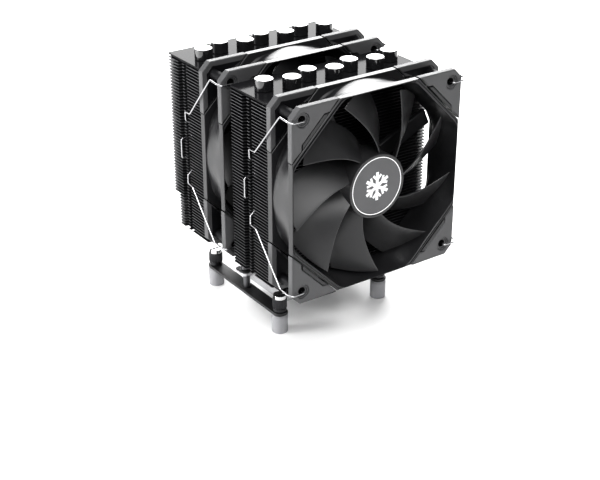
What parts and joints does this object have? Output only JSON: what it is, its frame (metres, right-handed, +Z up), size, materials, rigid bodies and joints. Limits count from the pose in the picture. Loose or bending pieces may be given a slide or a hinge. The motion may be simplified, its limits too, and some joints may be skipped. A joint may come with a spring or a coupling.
{
  "type": "dual tower processor cooler",
  "caption": "Tall black air cooler with finned towers, U-shaped heat pipes with round caps, square axial fans held by bent wire clips, and a standoff mounting frame.",
  "frame": {"origin": "centre of the cold plate's contact face", "axes": "+Z up out of the cold plate, +Y along the airflow from the front fan to the rear tower, X across the fans"},
  "size_m": [0.1256, 0.141, 0.1653],
  "materials": {
    "copper_plate": "flat machined copper contact plate, nickel plated",
    "black_block": "satin black coated block",
    "black_nickel_pipe": "glossy black coated pipe",
    "black_fins": "satin black coated sheet fins",
    "black_nickel_plate": "dark polished black-nickel sheet",
    "gloss_cap": "glossy black caps",
    "frame_plastic": "satin black moulded plastic",
    "pad_rubber": "dark grey rubber",
    "impeller_plastic": "satin black moulded plastic",
    "shaft_steel": "ground steel",
    "stator_metal": "wound copper on a laminated core",
    "clip_wire": "bright spring steel wire",
    "bar_steel": "plated steel bar",
    "screw_steel": "bright plated steel",
    "bracket_steel": "black coated steel",
    "standoff_plastic": "grey moulded plastic",
    "nut_black": "black knurled nut with a slotted top"
  },
  "bodies": {
    "cooler": {"cold_plate": "copper_plate", "base_cover": "black_block", "heat_pipe_1": "black_nickel_pipe", "heat_pipe_2": "black_nickel_pipe", "heat_pipe_3": "black_nickel_pipe", "heat_pipe_4": "black_nickel_pipe", "heat_pipe_5": "black_nickel_pipe", "heat_pipe_6": "black_nickel_pipe", "heat_pipe_7": "black_nickel_pipe", "fin_stack_front": "black_fins", "fin_stack_rear": "black_fins", "top_plate_front": "black_nickel_plate", "top_plate_rear": "black_nickel_plate", "pipe_cap_front_1": "gloss_cap", "pipe_cap_front_2": "gloss_cap", "pipe_cap_front_3": "gloss_cap", "pipe_cap_front_4": "gloss_cap", "pipe_cap_front_5": "gloss_cap", "pipe_cap_front_6": "gloss_cap", "pipe_cap_front_7": "gloss_cap", "pipe_cap_rear_1": "gloss_cap", "pipe_cap_rear_2": "gloss_cap", "pipe_cap_rear_3": "gloss_cap", "pipe_cap_rear_4": "gloss_cap", "pipe_cap_rear_5": "gloss_cap", "pipe_cap_rear_6": "gloss_cap", "pipe_cap_rear_7": "gloss_cap", "fan_frame_front": "frame_plastic", "stator_front": "stator_metal", "fan_frame_rear": "frame_plastic", "stator_rear": "stator_metal", "corner_pad_front_tr": "pad_rubber", "corner_pad_front_tl": "pad_rubber", "corner_pad_front_br": "pad_rubber", "corner_pad_front_bl": "pad_rubber", "corner_pad_rear_tr": "pad_rubber", "corner_pad_rear_tl": "pad_rubber", "corner_pad_rear_br": "pad_rubber", "corner_pad_rear_bl": "pad_rubber", "crossbar": "bar_steel", "crossbar_screw_left": "screw_steel", "crossbar_screw_right": "screw_steel", "bracket_left": "bracket_steel", "bracket_right": "bracket_steel", "standoff_fl": "standoff_plastic", "thumb_nut_fl": "nut_black", "standoff_fr": "standoff_plastic", "thumb_nut_fr": "nut_black", "standoff_rl": "standoff_plastic", "thumb_nut_rl": "nut_black", "standoff_rr": "standoff_plastic", "thumb_nut_rr": "nut_black"},
    "rotor_front": {"impeller_front": "impeller_plastic", "shaft_front": "shaft_steel"},
    "rotor_rear": {"impeller_rear": "impeller_plastic", "shaft_rear": "shaft_steel"},
    "wire_front_left": {"clip_front_left": "clip_wire"},
    "wire_front_right": {"clip_front_right": "clip_wire"},
    "wire_rear_left": {"clip_rear_left": "clip_wire"},
    "wire_rear_right": {"clip_rear_right": "clip_wire"}
  },
  "joints": [
    {"name": "fan_spin_front", "type": "hinge", "parent": "cooler", "child": "rotor_front", "pos_m": [0, -0.0704, 0.0965], "axis": [0, 1, 0], "continuous": true},
    {"name": "fan_spin_rear", "type": "hinge", "parent": "cooler", "child": "rotor_rear", "pos_m": [0, 0.0013, 0.0965], "axis": [0, 1, 0], "continuous": true},
    {"name": "clip_swing_front_left", "type": "hinge", "parent": "cooler", "child": "wire_front_left", "pos_m": [-0.0525, -0.0809, 0.0965], "axis": [0, 0, 1], "range_deg": [0, 15], "stiffness_Nm_per_rad": 0.05, "springref_deg": -5.73},
    {"name": "clip_swing_front_right", "type": "hinge", "parent": "cooler", "child": "wire_front_right", "pos_m": [0.0525, -0.0809, 0.0965], "axis": [0, 0, -1], "range_deg": [0, 15], "stiffness_Nm_per_rad": 0.05, "springref_deg": -5.73},
    {"name": "clip_swing_rear_left", "type": "hinge", "parent": "cooler", "child": "wire_rear_left", "pos_m": [-0.0525, -0.0092, 0.0965], "axis": [0, 0, 1], "range_deg": [0, 15], "stiffness_Nm_per_rad": 0.05, "springref_deg": -5.73},
    {"name": "clip_swing_rear_right", "type": "hinge", "parent": "cooler", "child": "wire_rear_right", "pos_m": [0.0525, -0.0092, 0.0965], "axis": [0, 0, -1], "range_deg": [0, 15], "stiffness_Nm_per_rad": 0.05, "springref_deg": -5.73}
  ]
}
